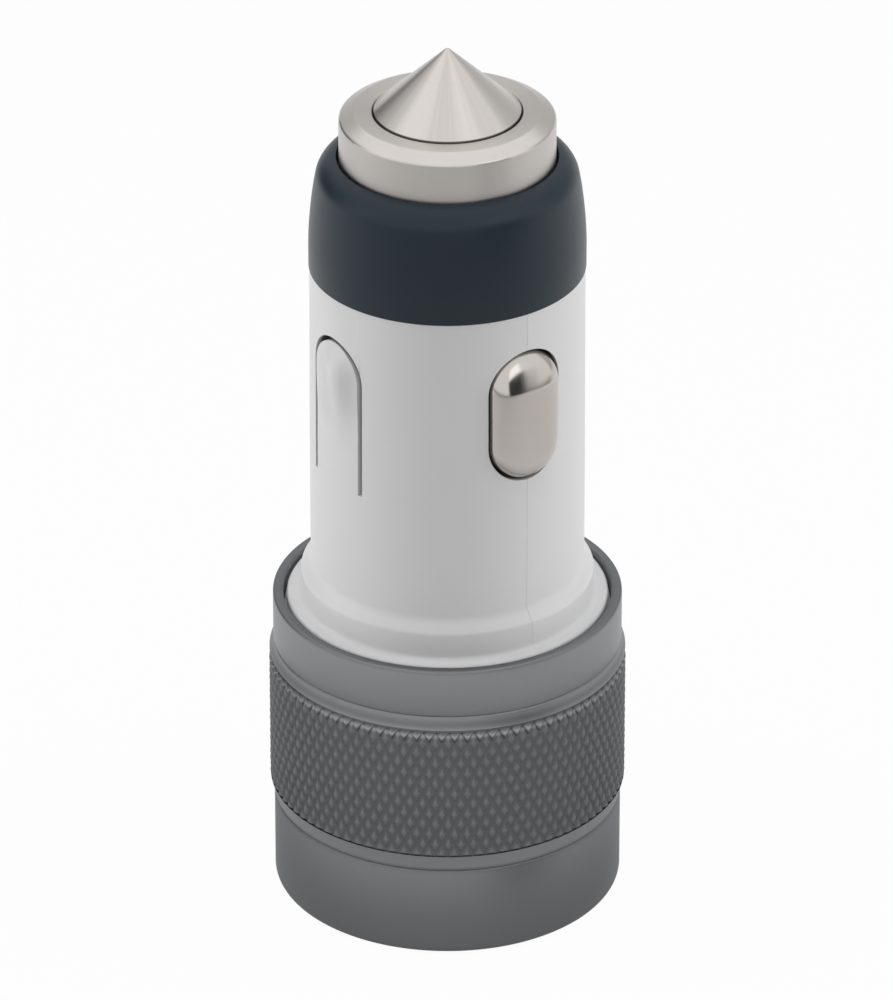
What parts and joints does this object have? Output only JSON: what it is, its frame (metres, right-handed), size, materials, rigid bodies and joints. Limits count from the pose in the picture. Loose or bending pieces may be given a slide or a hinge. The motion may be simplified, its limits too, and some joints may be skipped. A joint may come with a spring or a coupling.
{
  "type": "car usb charger plug",
  "caption": "Round vehicle power plug with a knurled metal head, USB sockets in its end face, a white barrel with sprung side contacts and a sprung conical steel tip.",
  "frame": {"origin": "centre of the head's rim, in the plane it stands on, at the socket end", "axes": "+Z along the plug to its tip, +X to one ground contact, seam of the barrel in XZ"},
  "size_m": [0.0272, 0.0272, 0.0702],
  "materials": {
    "anodised_sleeve": "turned, diamond-knurled and grey anodised",
    "white_shell": "smooth moulded white plastic",
    "slate_nose": "smooth satin slate-blue plastic",
    "turned_steel": "turned stainless steel",
    "nickel_contact": "drawn and nickel-plated brass",
    "fascia_plastic": "fine-grained white plastic",
    "socket_steel": "folded and tin-plated steel",
    "socket_insulator": "moulded black plastic",
    "contact_gold": "gold-plated copper alloy",
    "board_laminate": "glass-epoxy board with green mask",
    "ferrite": "moulded ferrite",
    "can_aluminium": "drawn aluminium can",
    "package_black": "moulded epoxy package",
    "fuse_ceramic": "ceramic block with plated caps",
    "spring_steel": "drawn spring wire and strip",
    "terminal_brass": "stamped brass"
  },
  "bodies": {
    "housing": {"head_sleeve": "anodised_sleeve", "port_fascia": "fascia_plastic", "barrel_half_rear": "white_shell", "barrel_half_front": "white_shell", "nose_ring": "slate_nose", "tip_collar": "turned_steel", "tip_spring": "spring_steel", "positive_terminal": "terminal_brass", "ground_spring_right": "spring_steel", "ground_spring_left": "spring_steel", "usb_shell_a": "socket_steel", "usb_shell_b": "socket_steel", "usb_tongue_a": "socket_insulator", "usb_tongue_b": "socket_insulator", "usb_contacts_a": "contact_gold", "usb_contacts_b": "contact_gold", "circuit_board": "board_laminate", "power_inductor": "ferrite", "output_capacitor": "can_aluminium", "input_capacitor": "can_aluminium", "buck_controller": "package_black", "rectifier_diode": "package_black", "fuse": "fuse_ceramic"},
    "tip": {"centre_tip": "turned_steel"},
    "contact_right": {"ground_contact_right": "nickel_contact"},
    "contact_left": {"ground_contact_left": "nickel_contact"}
  },
  "joints": [
    {"name": "tip_press", "type": "slide", "parent": "housing", "child": "tip", "axis": [0, 0, -1], "range_m": [0, 0.0022], "stiffness_N_per_m": 600, "springref_m": -0.003, "deforming": ["tip_spring"]},
    {"name": "contact_right_press", "type": "slide", "parent": "housing", "child": "contact_right", "axis": [-1, 0, 0], "range_m": [0, 0.00115], "stiffness_N_per_m": 500, "springref_m": -0.002, "deforming": ["ground_spring_right"]},
    {"name": "contact_left_press", "type": "slide", "parent": "housing", "child": "contact_left", "axis": [1, 0, 0], "range_m": [0, 0.00115], "stiffness_N_per_m": 500, "springref_m": -0.002, "deforming": ["ground_spring_left"]}
  ]
}
